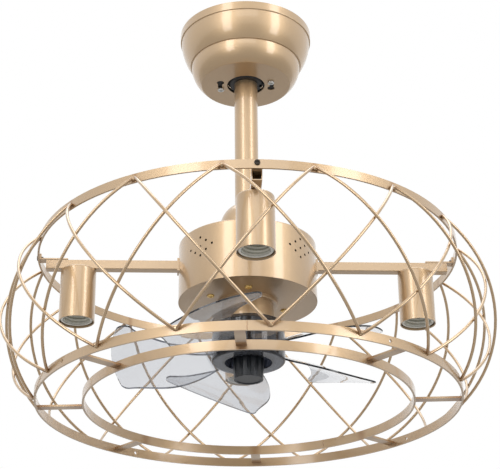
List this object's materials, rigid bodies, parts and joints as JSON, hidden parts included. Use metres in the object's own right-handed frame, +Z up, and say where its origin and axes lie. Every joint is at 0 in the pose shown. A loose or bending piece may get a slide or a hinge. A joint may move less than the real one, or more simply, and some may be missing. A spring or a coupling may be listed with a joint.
{
  "type": "caged ceiling fan with light",
  "caption": "Ceiling fan on a down rod inside a bulging lattice cage, with clear blades and screw sockets for bulbs on its arms.",
  "frame": {"origin": "on the ceiling plane, midway between the hanger bracket's two screw slots and on the down rod's axis", "axes": "+Z up along the down rod, -Y towards the viewer of the picture, +X to the viewer's right"},
  "size_m": [0.4984, 0.4984, 0.4337],
  "materials": {
    "champagne_paint": "satin metallic champagne paint",
    "zinc_steel": "zinc-plated steel",
    "white_plastic": "matt white moulding",
    "black_plastic": "black moulding, semi-gloss",
    "brass_screws": "bright brass",
    "dark_screws": "blackened steel",
    "cast_aluminium": "as cast and machined",
    "bearing_steel": "ground steel",
    "laminated_steel": "stamped electrical steel",
    "copper_wire": "enamelled copper",
    "magnet_ferrite": "sintered, dull",
    "circuit_board": "solder mask",
    "socket_plastic": "pale grey-white thermoset",
    "shell_aluminium": "plain rolled",
    "smoke_plastic": "clear smoke-grey moulding, polished"
  },
  "bodies": {
    "ceiling_mount": {"hanger_bracket": "zinc_steel", "canopy": "champagne_paint", "canopy_screws": "zinc_steel", "receiver_box": "white_plastic"},
    "hanging_frame": {"arm_flanges": "champagne_paint", "arm_front": "champagne_paint", "arm_left": "champagne_paint", "arm_rear": "champagne_paint", "arm_right": "champagne_paint", "ball_pin": "zinc_steel", "ball_set_screw": "zinc_steel", "bearings": "bearing_steel", "bottom_pan": "champagne_paint", "cage_bottom_ring": "champagne_paint", "cage_inner_ring": "champagne_paint", "cage_spokes": "champagne_paint", "cage_top_ring": "champagne_paint", "cage_wires_inner": "champagne_paint", "cage_wires_outer": "champagne_paint", "clevis_pin": "zinc_steel", "coils": "copper_wire", "control_board": "circuit_board", "cotter_pin": "zinc_steel", "downrod": "champagne_paint", "hanger_ball": "black_plastic", "lamp_cup_front": "champagne_paint", "lamp_cup_left": "champagne_paint", "lamp_cup_rear": "champagne_paint", "lamp_cup_right": "champagne_paint", "motor_base": "cast_aluminium", "motor_housing": "champagne_paint", "neck_sleeve": "champagne_paint", "nipple_nuts": "zinc_steel", "pan_screws": "brass_screws", "ring_screws": "dark_screws", "ring_straps": "champagne_paint", "socket_contacts": "brass_screws", "socket_front": "socket_plastic", "socket_left": "socket_plastic", "socket_nipples": "zinc_steel", "socket_rear": "socket_plastic", "socket_right": "socket_plastic", "socket_shell_front": "shell_aluminium", "socket_shell_left": "shell_aluminium", "socket_shell_rear": "shell_aluminium", "socket_shell_right": "shell_aluminium", "stator": "laminated_steel", "yoke": "zinc_steel", "yoke_cover": "champagne_paint", "yoke_screws": "zinc_steel"},
    "rotor": {"rotor_bell": "laminated_steel", "magnets": "magnet_ferrite", "motor_shaft": "bearing_steel", "drive_pin": "bearing_steel", "impeller": "smoke_plastic", "spinner_collar": "black_plastic", "spinner_knob": "black_plastic"}
  },
  "joints": [
    {"name": "ball_swing", "type": "hinge", "parent": "ceiling_mount", "child": "hanging_frame", "pos_m": [0, 0, -0.0452], "axis": [0, 1, 0], "range_deg": [-15, 15]},
    {"name": "fan_spin", "type": "hinge", "parent": "hanging_frame", "child": "rotor", "pos_m": [0, 0, -0.37], "axis": [0, 0, 1], "continuous": true}
  ]
}
